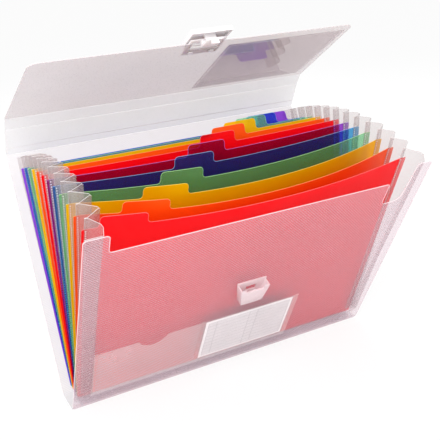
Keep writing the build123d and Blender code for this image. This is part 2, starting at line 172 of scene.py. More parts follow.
def surface_grain_group():
    """Fine grain and soft clouding of a plastic or paper face.

    It puts out the roughness, a height for bump, and a tone of 0 to 1 that mixes two shades of a colour.
    """
    group = bpy.data.node_groups.new("surface_grain", "ShaderNodeTree")
    for label in ("Grains per metre", "Roughness", "Spread"):
        group.interface.new_socket(label, in_out="INPUT", socket_type="NodeSocketFloat")
    for label in ("Roughness", "Height", "Tone"):
        group.interface.new_socket(label, in_out="OUTPUT", socket_type="NodeSocketFloat")
    make, link = group.nodes.new, group.links.new
    given, out, place = make("NodeGroupInput"), make("NodeGroupOutput"), make("ShaderNodeTexCoord")
    grain, cloud, wide = make("ShaderNodeTexNoise"), make("ShaderNodeTexNoise"), make("ShaderNodeMath")
    grain.inputs["Detail"].default_value = 2
    cloud.inputs["Detail"].default_value = 3
    wide.operation = "MULTIPLY"
    wide.inputs[1].default_value = CLOUDS_PER_GRAIN
    centred, rough = make("ShaderNodeMath"), make("ShaderNodeMath")
    centred.operation = "SUBTRACT"
    centred.inputs[1].default_value = 0.5
    rough.operation = "MULTIPLY_ADD"
    rough.use_clamp = True
    link(place.outputs["Object"], grain.inputs["Vector"])
    link(place.outputs["Object"], cloud.inputs["Vector"])
    link(given.outputs["Grains per metre"], grain.inputs["Scale"])
    link(given.outputs["Grains per metre"], wide.inputs[0])
    link(wide.outputs[0], cloud.inputs["Scale"])
    link(grain.outputs["Fac"], centred.inputs[0])
    link(centred.outputs[0], rough.inputs[0])
    link(given.outputs["Spread"], rough.inputs[1])
    link(given.outputs["Roughness"], rough.inputs[2])
    link(rough.outputs[0], out.inputs["Roughness"])
    link(grain.outputs["Fac"], out.inputs["Height"])
    link(cloud.outputs["Fac"], out.inputs["Tone"])
    return group


ribbing = fine_ribbing_group()
graining = surface_grain_group()


def add_grain(tree, own, base, roughness, grains=900, bump=0.05):
    """Grain and clouding on a material's own colour, and the bump node that carries the grain."""
    face = tree.nodes.new("ShaderNodeGroup")
    face.node_tree = graining
    face.inputs["Grains per metre"].default_value = grains
    face.inputs["Roughness"].default_value = roughness
    face.inputs["Spread"].default_value = GRAIN_SPREAD
    tone = tree.nodes.new("ShaderNodeMix")
    tone.data_type = "RGBA"
    tone.inputs[6].default_value = (*(DARK_TONE * c for c in shade(base)), 1)
    tone.inputs[7].default_value = (*(min(1, LIGHT_TONE * c) for c in shade(base)), 1)
    height = tree.nodes.new("ShaderNodeBump")
    height.inputs["Strength"].default_value = bump
    height.inputs["Distance"].default_value = BUMP_DISTANCE
    tree.links.new(face.outputs["Roughness"], own.inputs["Roughness"])
    tree.links.new(face.outputs["Tone"], tone.inputs[0])
    tree.links.new(tone.outputs[2], own.inputs["Base Color"])
    tree.links.new(face.outputs["Height"], height.inputs["Height"])
    tree.links.new(height.outputs[0], own.inputs["Normal"])
    return height


def see_through(name, tint, base, share, roughness=0.3, ribbed=None, rib_depth=0.0,
                specular=0.5, mirror=0.0, metal=0.0):
    """A thin plastic sheet that shows a share of its own colour, and for the rest what is behind it, tinted.

    Only the near face of a sheet shows its own colour. Ribs take some of that share away between their
    lines, and a mirror adds to it at a low angle.
    """
    mat = bpy.data.materials.new(name)
    mat.use_nodes = True
    tree = mat.node_tree
    own = tree.nodes["Principled BSDF"]
    out = tree.nodes["Material Output"]
    own.inputs["Base Color"].default_value = (*shade(base), 1)
    own.inputs["Roughness"].default_value = roughness
    own.inputs["Specular IOR Level"].default_value = specular
    own.inputs["Metallic"].default_value = metal
    clear = tree.nodes.new("ShaderNodeBsdfTransparent")
    clear.inputs["Color"].default_value = (*shade(tint), 1)
    mix = tree.nodes.new("ShaderNodeMixShader")
    tree.links.new(clear.outputs[0], mix.inputs[1])
    tree.links.new(own.outputs[0], mix.inputs[2])
    tree.links.new(mix.outputs[0], out.inputs["Surface"])
    if not mirror:
        grain = add_grain(tree, own, base, roughness)
    near, side = tree.nodes.new("ShaderNodeMath"), tree.nodes.new("ShaderNodeNewGeometry")
    near.operation = "MULTIPLY_ADD"
    near.inputs[1].default_value = -share
    near.inputs[2].default_value = share
    tree.links.new(side.outputs["Backfacing"], near.inputs[0])
    tree.links.new(near.outputs[0], mix.inputs[0])
    if mirror:
        glance, steep, more = (tree.nodes.new(kind) for kind in (
            "ShaderNodeLayerWeight", "ShaderNodeMath", "ShaderNodeMath"))
        glance.inputs["Blend"].default_value = 0.5
        steep.operation = "POWER"
        steep.inputs[1].default_value = MIRROR_POWER
        more.operation = "MULTIPLY_ADD"
        more.use_clamp = True
        more.inputs[1].default_value = mirror
        tree.links.new(glance.outputs["Facing"], steep.inputs[0])
        tree.links.new(steep.outputs[0], more.inputs[0])
        tree.links.new(near.outputs[0], more.inputs[2])
        tree.links.new(more.outputs[0], mix.inputs[0])
    if ribbed is not None:
        lines = tree.nodes.new("ShaderNodeGroup")
        lines.node_tree = ribbing
        lines.inputs["Direction"].default_value = ribbed
        lines.inputs["Lines per metre"].default_value = RIBS_PER_METRE
        own_share = tree.nodes.new("ShaderNodeMath")
        own_share.operation = "MULTIPLY_ADD"
        own_share.inputs[1].default_value = rib_depth / share
        own_share.inputs[2].default_value = 1 - rib_depth / share
        tree.links.new(lines.outputs["Mask"], own_share.inputs[0])
        tree.links.new(own_share.outputs[0], own.inputs["Alpha"])
        bump = tree.nodes.new("ShaderNodeBump")
        bump.inputs["Strength"].default_value = RIB_BUMP
        bump.inputs["Distance"].default_value = BUMP_DISTANCE
        tree.links.new(lines.outputs["Mask"], bump.inputs["Height"])
        tree.links.new(grain.outputs[0], bump.inputs["Normal"])
        tree.links.new(bump.outputs[0], own.inputs["Normal"])
    return mat


def solid(name, base, roughness=0.4, specular=0.5):
    """A plain material that hides what is behind it."""
    mat = bpy.data.materials.new(name)
    mat.use_nodes = True
    own = mat.node_tree.nodes["Principled BSDF"]
    own.inputs["Base Color"].default_value = (*shade(base), 1)
    own.inputs["Roughness"].default_value = roughness
    own.inputs["Specular IOR Level"].default_value = specular
    add_grain(mat.node_tree, own, base, roughness, grains=1500, bump=0.08)
    return mat


def rib_direction(lean, turn=45):
    """Square to lines that run down a leaf at an angle."""
    a = math.radians(turn)
    return Vector((math.sin(a), 0, 0)) + rise(lean) * math.cos(a)


# Name, tint of what is behind, own colour, own share, roughness
cover_front = see_through("cover_front", (0.975, 0.95, 0.955), (0.88, 0.82, 0.865), 0.385, 0.35,
                          ribbed=rib_direction(FRONT_LEAN), rib_depth=0.17)
cover_back = see_through("cover_back", (0.97, 0.96, 0.963), (0.93, 0.925, 0.93), 0.38, 0.35,
                         ribbed=rib_direction(-BACK_LEAN), rib_depth=0.04)
cover_base = see_through("cover_base", (0.96, 0.955, 0.96), (0.90, 0.895, 0.90), 0.44, 0.35)
# The flap is darker than the roof and strip of the same sheet: painted shade.
cover_flap_in_shade = see_through("cover_flap_in_shade", (0.966, 0.955, 0.956), (0.91, 0.88, 0.885), 0.51, 0.3)
cover_roof = see_through("cover_roof", (0.98, 0.975, 0.978), (0.95, 0.95, 0.955), 0.48, 0.3)
pleat_film = see_through("pleat_film", (0.952, 0.943, 0.943), (0.93, 0.91, 0.91), 0.20, 0.2)
pocket_film = see_through("pocket_film", (0.99, 0.985, 0.985), (0.98, 0.97, 0.975), 0.28, 0.12)
flap_film = see_through("flap_film", (0.95, 0.935, 0.938), (0.79, 0.75, 0.76), 0.05, 0.0,
                        mirror=1.2, metal=1.0)
comb_film = see_through("comb_film", (0.97, 0.97, 0.975), (0.9, 0.9, 0.91), 0.36, 0.3)
# The covers' cut edges, lighter than the cover sheets: a painted highlight along the edges.
cut_edge_highlight = see_through("cut_edge_highlight", (1, 1, 1), (0.96, 0.93, 0.94), 0.54, 0.25)
flap_edge = see_through("flap_edge", (0.985, 0.98, 0.98), (0.88, 0.86, 0.865), 0.3, 0.25)
soft_dot = see_through("soft_dot", (0.99, 0.985, 0.985), (0.97, 0.94, 0.95), 0.35, 0.3)
# A lighter film for the pleats' rims and the flap's score line: a painted highlight along them.
film_highlight_line = see_through("film_highlight_line", (0.96, 0.955, 0.955), (0.93, 0.91, 0.91), 0.54, 0.25)
weld_dot = see_through("weld_dot", (1, 1, 1), (1.0, 0.98, 0.985), 0.60, 0.3)
moulded = solid("moulded_clip", (0.95, 0.935, 0.94), 0.25)
# The catch is of the latch's white plastic; its pink tint and pinker, darker own colour are painted pink
# bounce light and shade, while the red seen through its walls is real.
catch_with_painted_bounce = see_through("catch_with_painted_bounce", (0.98, 0.94, 0.95), (0.90, 0.86, 0.87), 0.70, 0.25)
card_paper = solid("card_paper", (0.97, 0.97, 0.975), 0.7, 0.2)
card_field = solid("card_field", (0.87, 0.865, 0.875), 0.7, 0.2)
card_rule = solid("card_rule", (0.70, 0.69, 0.71), 0.7, 0.2)

# Own share, tint of what is behind, own colour, colour of the top edge's bead, lighter than the sheet: a
# painted highlight
DIVIDER_LOOKS = {
    "red": (0.66, (1.0, 0.30, 0.38), (1.0, 0.03, 0.08), (1.0, 0.50, 0.50)),
    "orange": (0.70, (1.0, 0.62, 0.45), (1.0, 0.35, 0.07), (1.0, 0.66, 0.42)),
    "amber": (0.68, (1.0, 0.85, 0.36), (0.98, 0.76, 0.0), (1.0, 0.86, 0.36)),
    "green": (0.34, (0.82, 0.96, 0.90), (0.54, 0.84, 0.40), (0.72, 0.92, 0.62)),
    "blue": (0.26, (0.64, 0.88, 0.98), (0.12, 0.26, 0.66), (0.50, 0.74, 0.95)),
    "purple": (0.26, (0.82, 0.62, 0.98), (0.52, 0.02, 0.24), (0.72, 0.50, 0.90)),
    "violet": (0.50, (0.82, 0.62, 0.98), (0.50, 0.22, 0.80), (0.72, 0.50, 0.90)),
}
DIVIDER_HIGHLIGHT_SHARE = 0.68
dividers = {}
divider_highlights = {}
for colour, (share, tint, base, highlight) in DIVIDER_LOOKS.items():
    dividers[colour] = see_through("divider_" + colour, tint, base, share, roughness=0.35, specular=0.22)
    # Each divider's top-edge bead is lighter than its sheet: a painted highlight.
    divider_highlights[colour] = see_through("divider_highlight_edge_" + colour, tint, highlight, DIVIDER_HIGHLIGHT_SHARE)
COLOURS = ["red", "orange", "amber", "green", "blue", "purple"]
LAST_LOOK = "violet"


def paint(node, mat):
    """Give a solid's mesh one material."""
    mesh = nodes[node].data
    mesh.materials.clear()
    mesh.materials.append(mat)


paint("front_cover", cover_front)
paint("back_cover", cover_back)
paint("base_panel", cover_base)
paint("floor_comb", comb_film)
paint("flap_roof", cover_roof)
paint("flap_strip", cover_roof)
paint("flap_front", cover_flap_in_shade)
paint("flap_pocket", flap_film)
paint("front_pocket", pocket_film)
paint("index_card", card_paper)
for part in ("latch_base", "latch_rivet_left", "latch_rivet_right", "latch_pin", "latch_lever",
             "catch_box", "catch_rivet_left", "catch_rivet_right"):
    paint(part, moulded)


# Meshes

def new_piece(name, verts, faces, mat, smooth=False):
    """A mesh of its own, at the origin."""
    mesh = bpy.data.meshes.new(name)
    mesh.from_pydata([tuple(v) for v in verts], [], faces)
    mesh.materials.append(mat)
    mesh.update()
    if smooth:
        mesh.shade_smooth()
    piece = bpy.data.objects.new(name, mesh)
    bpy.context.scene.collection.objects.link(piece)
    return piece


def settle(piece):
    """Turn a piece with live modifiers into a plain mesh."""
    seen = piece.evaluated_get(bpy.context.evaluated_depsgraph_get())
    mesh = bpy.data.meshes.new_from_object(seen)
    piece.modifiers.clear()
    old = piece.data
    piece.data = mesh
    name = old.name
    bpy.data.meshes.remove(old)
    mesh.name = name
    return piece


def mesh_tree(name):
    """An empty Geometry Nodes tree with a way in and out for its mesh."""
    tree = bpy.data.node_groups.new(name, "GeometryNodeTree")
    tree.is_modifier = True
    tree.interface.new_socket("Geometry", in_out="INPUT", socket_type="NodeSocketGeometry")
    tree.interface.new_socket("Geometry", in_out="OUTPUT", socket_type="NodeSocketGeometry")
    return tree


def weld_dot_tree():
    """Round weld dots at a pitch along a line, flat on a face."""
    tree = mesh_tree("weld_dots")
    for label, kind in (("Pitch", "NodeSocketFloat"), ("Radius", "NodeSocketFloat"),
                        ("Height", "NodeSocketFloat"), ("Face", "NodeSocketVector"),
                        ("Material", "NodeSocketMaterial")):
        tree.interface.new_socket(label, in_out="INPUT", socket_type=kind)
    make = tree.nodes.new
    given, out = make("NodeGroupInput"), make("NodeGroupOutput")
    line, spread = make("GeometryNodeMeshToCurve"), make("GeometryNodeResampleCurve")
    spread.mode = "LENGTH"
    dot, turn = make("GeometryNodeMeshCylinder"), make("FunctionNodeAlignRotationToVector")
    dot.inputs["Vertices"].default_value = 6
    place, real = make("GeometryNodeInstanceOnPoints"), make("GeometryNodeRealizeInstances")
    finish = make("GeometryNodeSetMaterial")
    link = tree.links.new
    link(given.outputs["Geometry"], line.inputs[0])
    link(line.outputs[0], spread.inputs["Curve"])
    link(given.outputs["Pitch"], spread.inputs["Length"])
    link(given.outputs["Radius"], dot.inputs["Radius"])
    link(given.outputs["Height"], dot.inputs["Depth"])
    link(given.outputs["Face"], turn.inputs["Vector"])
    link(spread.outputs[0], place.inputs["Points"])
    link(dot.outputs["Mesh"], place.inputs["Instance"])
    link(turn.outputs[0], place.inputs["Rotation"])
    link(place.outputs[0], real.inputs[0])
    link(real.outputs[0], finish.inputs["Geometry"])
    link(given.outputs["Material"], finish.inputs["Material"])
    link(finish.outputs[0], out.inputs[0])
    return tree


def edge_bead_tree():
    """A thin round bead along a line."""
    tree = mesh_tree("edge_bead")
    for label, kind in (("Radius", "NodeSocketFloat"), ("Material", "NodeSocketMaterial")):
        tree.interface.new_socket(label, in_out="INPUT", socket_type=kind)
    make = tree.nodes.new
    given, out = make("NodeGroupInput"), make("NodeGroupOutput")
    line, ring = make("GeometryNodeMeshToCurve"), make("GeometryNodeCurvePrimitiveCircle")
    ring.inputs["Resolution"].default_value = 8
    tube, soft = make("GeometryNodeCurveToMesh"), make("GeometryNodeSetShadeSmooth")
    tube.inputs["Fill Caps"].default_value = True
    real, finish = make("GeometryNodeRealizeInstances"), make("GeometryNodeSetMaterial")
    link = tree.links.new
    link(given.outputs["Geometry"], line.inputs[0])
    link(given.outputs["Radius"], ring.inputs["Radius"])
    link(line.outputs[0], tube.inputs["Curve"])
    link(ring.outputs[0], tube.inputs["Profile Curve"])
    link(tube.outputs[0], soft.inputs[0])
    link(soft.outputs[0], real.inputs[0])
    link(real.outputs[0], finish.inputs["Geometry"])
    link(given.outputs["Material"], finish.inputs["Material"])
    link(finish.outputs[0], out.inputs[0])
    return tree


dots_tree = weld_dot_tree()
bead_tree = edge_bead_tree()


def grow(name, lines, tree, **values):
    """Run a tree on one or more lines of points, and keep the result as a plain mesh."""
    verts, edges = [], []
    for line in lines:
        first = len(verts)
        verts += [tuple(p) for p in line]
        edges += [(first + i, first + i + 1) for i in range(len(line) - 1)]
    mesh = bpy.data.meshes.new(name)
    mesh.from_pydata(verts, edges, [])
    piece = bpy.data.objects.new(name, mesh)
    bpy.context.scene.collection.objects.link(piece)
    run = piece.modifiers.new(name, "NODES")
    run.node_group = tree
    for item in tree.interface.items_tree:
        if item.in_out == "INPUT" and item.name in values:
            run[item.identifier] = values[item.name]
    return settle(piece)


def join(piece, other, slot):
    """Add another piece's mesh to a piece, in one of its material slots."""
    shape = bmesh.new()
    shape.from_mesh(piece.data)
    first = len(shape.faces)
    shape.from_mesh(other.data)
    shape.faces.ensure_lookup_table()
    for face in shape.faces[first:]:
        face.material_index = slot
    shape.to_mesh(piece.data)
    shape.free()
    old = other.data
    bpy.data.objects.remove(other)
    bpy.data.meshes.remove(old)


# Side pleats: two panels to a free fold, inward at the left and outward at the right, welded to the walls

PLEAT_STEPS = 7
PLEAT_POINTS = PLEAT_STEPS * 2 + 5
PLEAT_ROWS = 16
PLEAT_FILM = 0.22 * MM
PLEAT_OFF_WALL = 0.12 * MM
PLEAT_CLEARANCE = 0.15 * MM
PLEAT_CORNER = 2 * MM
PLEAT_RIM = 0.26 * MM
# Where the first pleats meet the front cover
RIGHT_COVER_WELD, RIGHT_COVER_END = 156 * MM, 150 * MM
LEFT_COVER_WELD, LEFT_COVER_END, LEFT_COVER_FOLD = 149 * MM, 164 * MM, 145 * MM


def pleat_lines(number, side):
    """Where a pleat is welded to its front and rear wall, where its flanges end, and where it folds."""
    away = -1 if side > 0 else 1
    rear_weld, rear_end = PLEAT_WELD, PLEAT_WELD + away * PLEAT_FLANGE
    front_weld, front_end = rear_weld, rear_end
    fold = PLEAT_OUTER_FOLD if side > 0 else PLEAT_FOLD
    if number == 1 and side > 0:
        front_weld, front_end = RIGHT_COVER_WELD, RIGHT_COVER_END
    elif number == 1:
        front_weld, front_end, fold = LEFT_COVER_WELD, LEFT_COVER_END, LEFT_COVER_FOLD
    return front_end, front_weld, fold, rear_weld, rear_end


def pleat_profile(number, side, gap):
    """Points (across, from the front wall to the rear wall, distance from the fold) of a pleat's section."""
    low, high = PLEAT_OFF_WALL, gap - PLEAT_CLEARANCE - PLEAT_OFF_WALL
    middle = (low + high) / 2
    front_end, front_weld, fold, rear_weld, rear_end = pleat_lines(number, side)
    points = [(front_end, low), ((front_end + front_weld) / 2, low), (front_weld, low)]
    for i in range(1, PLEAT_STEPS):
        part = i / PLEAT_STEPS
        points.append((front_weld + (fold - front_weld) * part, low + (middle - low) * part))
    points.append((fold, middle))
    for i in range(PLEAT_STEPS - 1, 0, -1):
        part = i / PLEAT_STEPS
        points.append((rear_weld + (fold - rear_weld) * part, high + (middle - high) * part))
    points += [(rear_weld, high), ((rear_weld + rear_end) / 2, high), (rear_end, high)]
    return [(u, n, abs(u - fold)) for u, n in points]


def pleat_mesh(number, side):
    """Points and faces of a pleat, in rows from its start to its top, which is rounded down at the fold."""
    ahead, behind = walls[number - 1], walls[number]
    verts, faces = [], []
    for row in range(PLEAT_ROWS + 1):
        part = row / PLEAT_ROWS
        level = PLEAT_START + (PLEAT_TOP - PLEAT_START) * part
        gap = (behind.wall(level, 1) - ahead.wall(level, -1)).length
        for i, (u, n, beyond) in enumerate(pleat_profile(number, side, gap)):
            top = PLEAT_TOP
            if beyond < PLEAT_CORNER:
                top -= PLEAT_CORNER - math.sqrt(max(0, PLEAT_CORNER ** 2 - (PLEAT_CORNER - beyond) ** 2))
            height = PLEAT_START + (top - PLEAT_START) * part
            start, end = ahead.wall(height, -1), behind.wall(height, 1)
            u, n, beyond = pleat_profile(number, side, (end - start).length)[i]
            place = start + (end - start).normalized() * n
            verts.append((side * u, place.y, place.z))
    for row in range(PLEAT_ROWS):
        for i in range(PLEAT_POINTS - 1):
            a = row * PLEAT_POINTS + i
            quad = (a, a + 1, a + PLEAT_POINTS + 1, a + PLEAT_POINTS)
            faces.append(quad if side > 0 else quad[::-1])
    return verts, faces


for number in range(1, POCKETS + 1):
    for side, label in ((-1, "left"), (1, "right")):
        verts, faces = pleat_mesh(number, side)
        piece = new_piece(f"pleat_film_{label}_{number:02d}", verts, faces, pleat_film)
        # The rim faces and a bead along the top take the lighter film: a painted highlight on the pleat's top
        # edge.
        piece.data.materials.append(film_highlight_line)
        thick = piece.modifiers.new("film", "SOLIDIFY")
        thick.thickness = PLEAT_FILM
        thick.offset = 0
        thick.material_offset_rim = 1
        settle(piece)
        rim = grow("rim", [verts[-PLEAT_POINTS:]], bead_tree, Radius=PLEAT_RIM, Material=film_highlight_line)
        join(piece, rim, 1)
        wall = walls[number - 1]
        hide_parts(f"pleat_{label}_{number:02d}")
        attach(piece, body_of_wall[number - 1])
        tuple(wall.wall(PLEAT_START, -1))
        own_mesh(piece)

# Weld dots on the pleats' flanges, on both faces of every divider
DOT_LINE = PLEAT_FLANGE / 2
DOT_LIFT = 0.34 * MM
DOT_PITCH, DOT_RADIUS, DOT_HEIGHT = 2.3 * MM, 0.62 * MM, 0.16 * MM
DOTS_FROM, DOTS_TO = 6 * MM, 212 * MM
for k in range(1, POCKETS):
    wall = walls[k]
    lines = []
    for u in (-PLEAT_WELD - DOT_LINE, PLEAT_WELD - DOT_LINE):
        for face in (1, -1):
            w = face * (wall.half + DOT_LIFT)
            lines.append([wall.at(u, DOTS_FROM, w), wall.at(u, DOTS_TO, w)])
    piece = grow(f"weld_dots_{k:02d}", lines, dots_tree, Pitch=DOT_PITCH, Radius=DOT_RADIUS,
                 Height=DOT_HEIGHT, Face=facing(wall.lean), Material=weld_dot)
    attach(piece, body_of_wall[k])

# Two columns of weld dots at each side of the front cover
COVER_DOT_COLUMNS = (-161.5 * MM, -151.5 * MM, 151.5 * MM, 154.5 * MM)
COVER_DOT_LIFT = 0.05 * MM
COVER_DOT_PITCH, COVER_DOT_RADIUS, COVER_DOT_HEIGHT = 8 * MM, 0.6 * MM, 0.14 * MM
COVER_DOTS_FROM, COVER_DOTS_TO = 14 * MM, 186 * MM
w = front.half + COVER_DOT_LIFT
lines = [[front.at(u, COVER_DOTS_FROM, w), front.at(u, COVER_DOTS_TO, w)] for u in COVER_DOT_COLUMNS]
piece = grow("cover_weld_dots", lines, dots_tree, Pitch=COVER_DOT_PITCH, Radius=COVER_DOT_RADIUS,
             Height=COVER_DOT_HEIGHT, Face=facing(front.lean), Material=soft_dot)
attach(piece, "front")


# Cut edges as thin beads; the beads on the front and back covers are lighter than their sheets: a painted
# highlight

CUT_EDGE_RADIUS = 0.45 * MM


def rounded(points, radii, count=6):
    """A line through points with its inner corners turned into arcs."""
    line = [points[0]]
    for before, at, after, radius in zip(points, points[1:], points[2:], radii):
        p = Vector(at)
        a = (Vector(before) - p).normalized()
        b = (Vector(after) - p).normalized()
        half = a.angle(b) / 2
        centre = p + (a + b).normalized() * (radius / math.sin(half))
        start = p + a * (radius / math.tan(half)) - centre
        end = p + b * (radius / math.tan(half)) - centre
        for i in range(count + 1):
            part = i / count
            spoke = (start * (1 - part) + end * part).normalized() * radius
            line.append(tuple(centre + spoke))
    line.append(points[-1])
    return line


def edge_bead(name, leaf, body, outline, corners, mat=cut_edge_highlight, radius=CUT_EDGE_RADIUS):
    """A bead along a line of points on a leaf, with its inner corners rounded."""
    path = [leaf.at(u, v) for u, v in rounded(outline, corners)]
    piece = grow(name, [path], bead_tree, Radius=radius, Material=mat)
    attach(piece, body)


EDGE_FOOT = 4 * MM
CREASE_ROOM = 1 * MM
BACK_EDGE_TOP = 238 * MM
BACK_EDGE_RADIUS = 0.48 * MM
NOTCH_CORNER = 0.5 * MM
edge_bead("front_cut_edge", front, "front", [
    (-HALF_WIDTH, EDGE_FOOT), (-HALF_WIDTH, FRONT_HEIGHT), (-LEFT_SHOULDER, FRONT_HEIGHT),
    (-LEFT_SHOULDER, MAIN_EDGE), (SLOT_LEFT, MAIN_EDGE), (SLOT_LEFT, SLOT_FLOOR), (SLOT_RIGHT, SLOT_FLOOR),
    (SLOT_TOP_RIGHT, FRONT_HEIGHT), (HALF_WIDTH, FRONT_HEIGHT), (HALF_WIDTH, EDGE_FOOT),
], [COVER_CORNER] * 5 + [SLOT_CURVE] + [COVER_CORNER] * 2)
for side, label in ((-1, "left"), (1, "right")):
    edge_bead("flap_cut_" + label, flap, "flap", [
        (side * HALF_WIDTH, CREASE_ROOM), (side * FLAP_END_HALF, FLAP_LENGTH),
        (side * NOTCH_HALF, FLAP_LENGTH),
    ], [FLAP_CORNER], flap_edge)
edge_bead("flap_notch_edge", flap, "flap", [
    (-NOTCH_HALF, FLAP_LENGTH), (-NOTCH_HALF, NOTCH_FLOOR),
    (NOTCH_HALF, NOTCH_FLOOR), (NOTCH_HALF, FLAP_LENGTH),
], [NOTCH_CORNER, NOTCH_CORNER], flap_edge)
for side, label in ((-1, "left"), (1, "right")):
    edge_bead(f"back_{label}_edge", back, "back", [
        (side * HALF_WIDTH, CREASE_ROOM), (side * HALF_WIDTH, BACK_EDGE_TOP)], [], radius=BACK_EDGE_RADIUS)


# Dividers: each sheet bows to the front between the pleats that hold its ends, most behind the front cover

BOWS = [15, 24, 25, 22, 15, 11, 7, 4, 3, 2, 1, 0]
BOW_HALF = 150 * MM
BOW_RISE = 1.2
CORNER = 3.5 * MM
END_CORNER = 0.8 * MM
END_STEPS = [0, 0.2 * MM, 0.5 * MM, END_CORNER]
TAB_MIDDLE = 5.5 * MM
WIDE, FINE = 6 * MM, 0.6 * MM
LEAF_ROWS = 14
PATCH_SEAM = 0.005 * MM
EDGE_RADIUS = 0.2 * MM
SHARP = math.radians(40)


def tab_ends(k):
    """Where the tab of a divider begins and ends; the tabs step from left to right."""
    start = -TAB_SPAN / 2 + (TAB_SPAN - TAB_WIDTH) * (k - 1) / (POCKETS - 2)
    return start, start + TAB_WIDTH


def bowed(k, u, v):
    """A point of the divider's middle surface."""
    top = DIVIDER_TOP - DIVIDER_FOOT
    across = max(0, 1 - (u / BOW_HALF) ** 2)
    return walls[k].at(u, v, BOWS[k - 1] * MM * across * max(0, v / top) ** BOW_RISE)


def spaced(start, end, pitch):
    """Even steps from start to end, none longer than the pitch."""
    count = max(1, math.ceil((end - start) / pitch))
    return [start + (end - start) * i / count for i in range(count + 1)]


def arc(radius, away):
    """How far a round corner stays short of its edge, at a distance from where the corner begins."""
    return radius - math.sqrt(max(0, radius ** 2 - (radius - min(away, radius)) ** 2))


def divider_mesh(k):
    """Patches of the sheet (rows of points): the leaf, the tab, and the hollow corners at the tab's foot."""
    top, side = DIVIDER_TOP - DIVIDER_FOOT, DIVIDER_HALF
    start, end = tab_ends(k)
    places = sorted(set([-side + d for d in END_STEPS] + [side - d for d in END_STEPS]
                        + spaced(-side + END_CORNER, start - CORNER, WIDE)
                        + spaced(start - CORNER, start, FINE) + spaced(start, start + CORNER, FINE)
                        + spaced(start + CORNER, end - CORNER, WIDE)
                        + spaced(end - CORNER, end, FINE) + spaced(end, end + CORNER, FINE)
                        + spaced(end + CORNER, side - END_CORNER, WIDE)))
    leaf = [[(u, (top - arc(END_CORNER, side - abs(u))) * row / LEAF_ROWS) for u in places]
            for row in range(LEAF_ROWS + 1)]
    patches = [leaf]
    on_tab = [u for u in places if start <= u <= end]
    high = [top + TAB_RISE - arc(CORNER, min(u - start, end - u)) for u in on_tab]
    steps = [0, CORNER / 2, CORNER, TAB_MIDDLE, TAB_RISE - CORNER]
    patches.append([[(u, top + step) for u in on_tab] for step in steps] + [list(zip(on_tab, high))])
    for near, far, foot in ((start - CORNER, start, start), (end, end + CORNER, end)):
        beside = [u for u in places if near <= u <= far]
        fill = [arc(CORNER, abs(u - foot)) for u in beside]
        patches.append([[(u, top + f * part) for u, f in zip(beside, fill)] for part in (0, 0.5, 1)])
    line = [(u, v) for u, v in leaf[-1] if u < start - CORNER] + list(zip(
        [u for u in places if start - CORNER <= u <= start], [v for u, v in patches[2][-1]]))
    line += patches[1][-1] + patches[3][-1] + [(u, v) for u, v in leaf[-1] if u > end + CORNER]
    verts, faces = [], []
    for rows in patches:
        first, count = len(verts), len(rows[0])
        verts += [bowed(k, u, v) for row in rows for u, v in row]
        faces += [(first + r * count + i, first + r * count + i + 1, first + (r + 1) * count + i + 1,
                   first + (r + 1) * count + i) for r in range(len(rows) - 1) for i in range(count - 1)]
    return verts, faces, line


for k in range(1, POCKETS):
    colour = COLOURS[(k - 1) % len(COLOURS)]
    look = LAST_LOOK if k == POCKETS - 1 else colour
    wall = walls[k]
    verts, faces, tops = divider_mesh(k)
    piece = new_piece(f"divider_sheet_{k:02d}", verts, faces, dividers[look], smooth=True)
    shape = bmesh.new()
    shape.from_mesh(piece.data)
    bmesh.ops.remove_doubles(shape, verts=shape.verts, dist=PATCH_SEAM)
    shape.to_mesh(piece.data)
    shape.free()
    thick = piece.modifiers.new("sheet", "SOLIDIFY")
    thick.thickness = DIVIDER_SHEET
    thick.offset = 0
    settle(piece)
    piece.data.set_sharp_from_angle(angle=SHARP)
    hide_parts(f"divider_{k:02d}")
    # A lighter bead along the top edge and tab: painted highlight.
    edge = grow(f"divider_highlight_edge_{k:02d}", [[bowed(k, u, v) for u, v in tops]], bead_tree, Radius=EDGE_RADIUS,
                Material=divider_highlights[look])
    for thing in (piece, edge):
        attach(thing, body_of_wall[k])
        tuple(wall.at(0, 0))
        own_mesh(thing)

# The second score line of the flap, just above its crease, on both faces
SCORE_HALF, SCORE_HEIGHT = 164 * MM, 7.5 * MM
SCORE_LIFT, SCORE_RADIUS = 0.35 * MM, 0.25 * MM
lines = [[roof.at(u, SCORE_HEIGHT, side * SCORE_LIFT) for u in (-SCORE_HALF, SCORE_HALF)] for side in (-1, 1)]
# The beads take the pleats' lighter rim film: a painted highlight along the crease.
piece = grow("roof_score", lines, bead_tree, Radius=SCORE_RADIUS, Material=film_highlight_line)
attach(piece, "roof")

# The card's ruled field
CARD_MARGIN = 3 * MM
CARD_ROWS = 10
CARD_COLUMN_SHARES = (0, 0.1, 0.5, 0.6, 1)
FIELD_LIFT, RULE_LIFT, RULE_RADIUS = 0.03 * MM, 0.04 * MM, 0.2 * MM
left, right = CARD_LEFT + CARD_MARGIN, CARD_RIGHT - CARD_MARGIN
low, high = CARD_LOW + CARD_MARGIN, CARD_HIGH - CARD_MARGIN
on_card = front.half + CARD_SHEET
field = on_card + FIELD_LIFT
ruled = on_card + RULE_LIFT
corners = [(left, low), (right, low), (right, high), (left, high)]
piece = new_piece("card_field", [front.at(u, v, field) for u, v in corners], [(0, 1, 2, 3)], card_field)
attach(piece, "front")
lines = []
for i in range(CARD_ROWS + 1):
    v = low + (high - low) * i / CARD_ROWS
    lines.append([front.at(left, v, ruled), front.at(right, v, ruled)])
for part in CARD_COLUMN_SHARES:
    u = left + (right - left) * part
    lines.append([front.at(u, low, ruled), front.at(u, high, ruled)])
piece = grow("card_rules", lines, bead_tree, Radius=RULE_RADIUS, Material=card_rule)
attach(piece, "front")


# Moulded pieces with softened edges

MESH_SEAM = 0.002 * MM
FLAT = math.radians(1)
HARD_EDGE = math.radians(50)
CATCH_BEVEL, LATCH_BEVEL, LEVER_BEVEL = 0.25 * MM, 0.2 * MM, 0.22 * MM


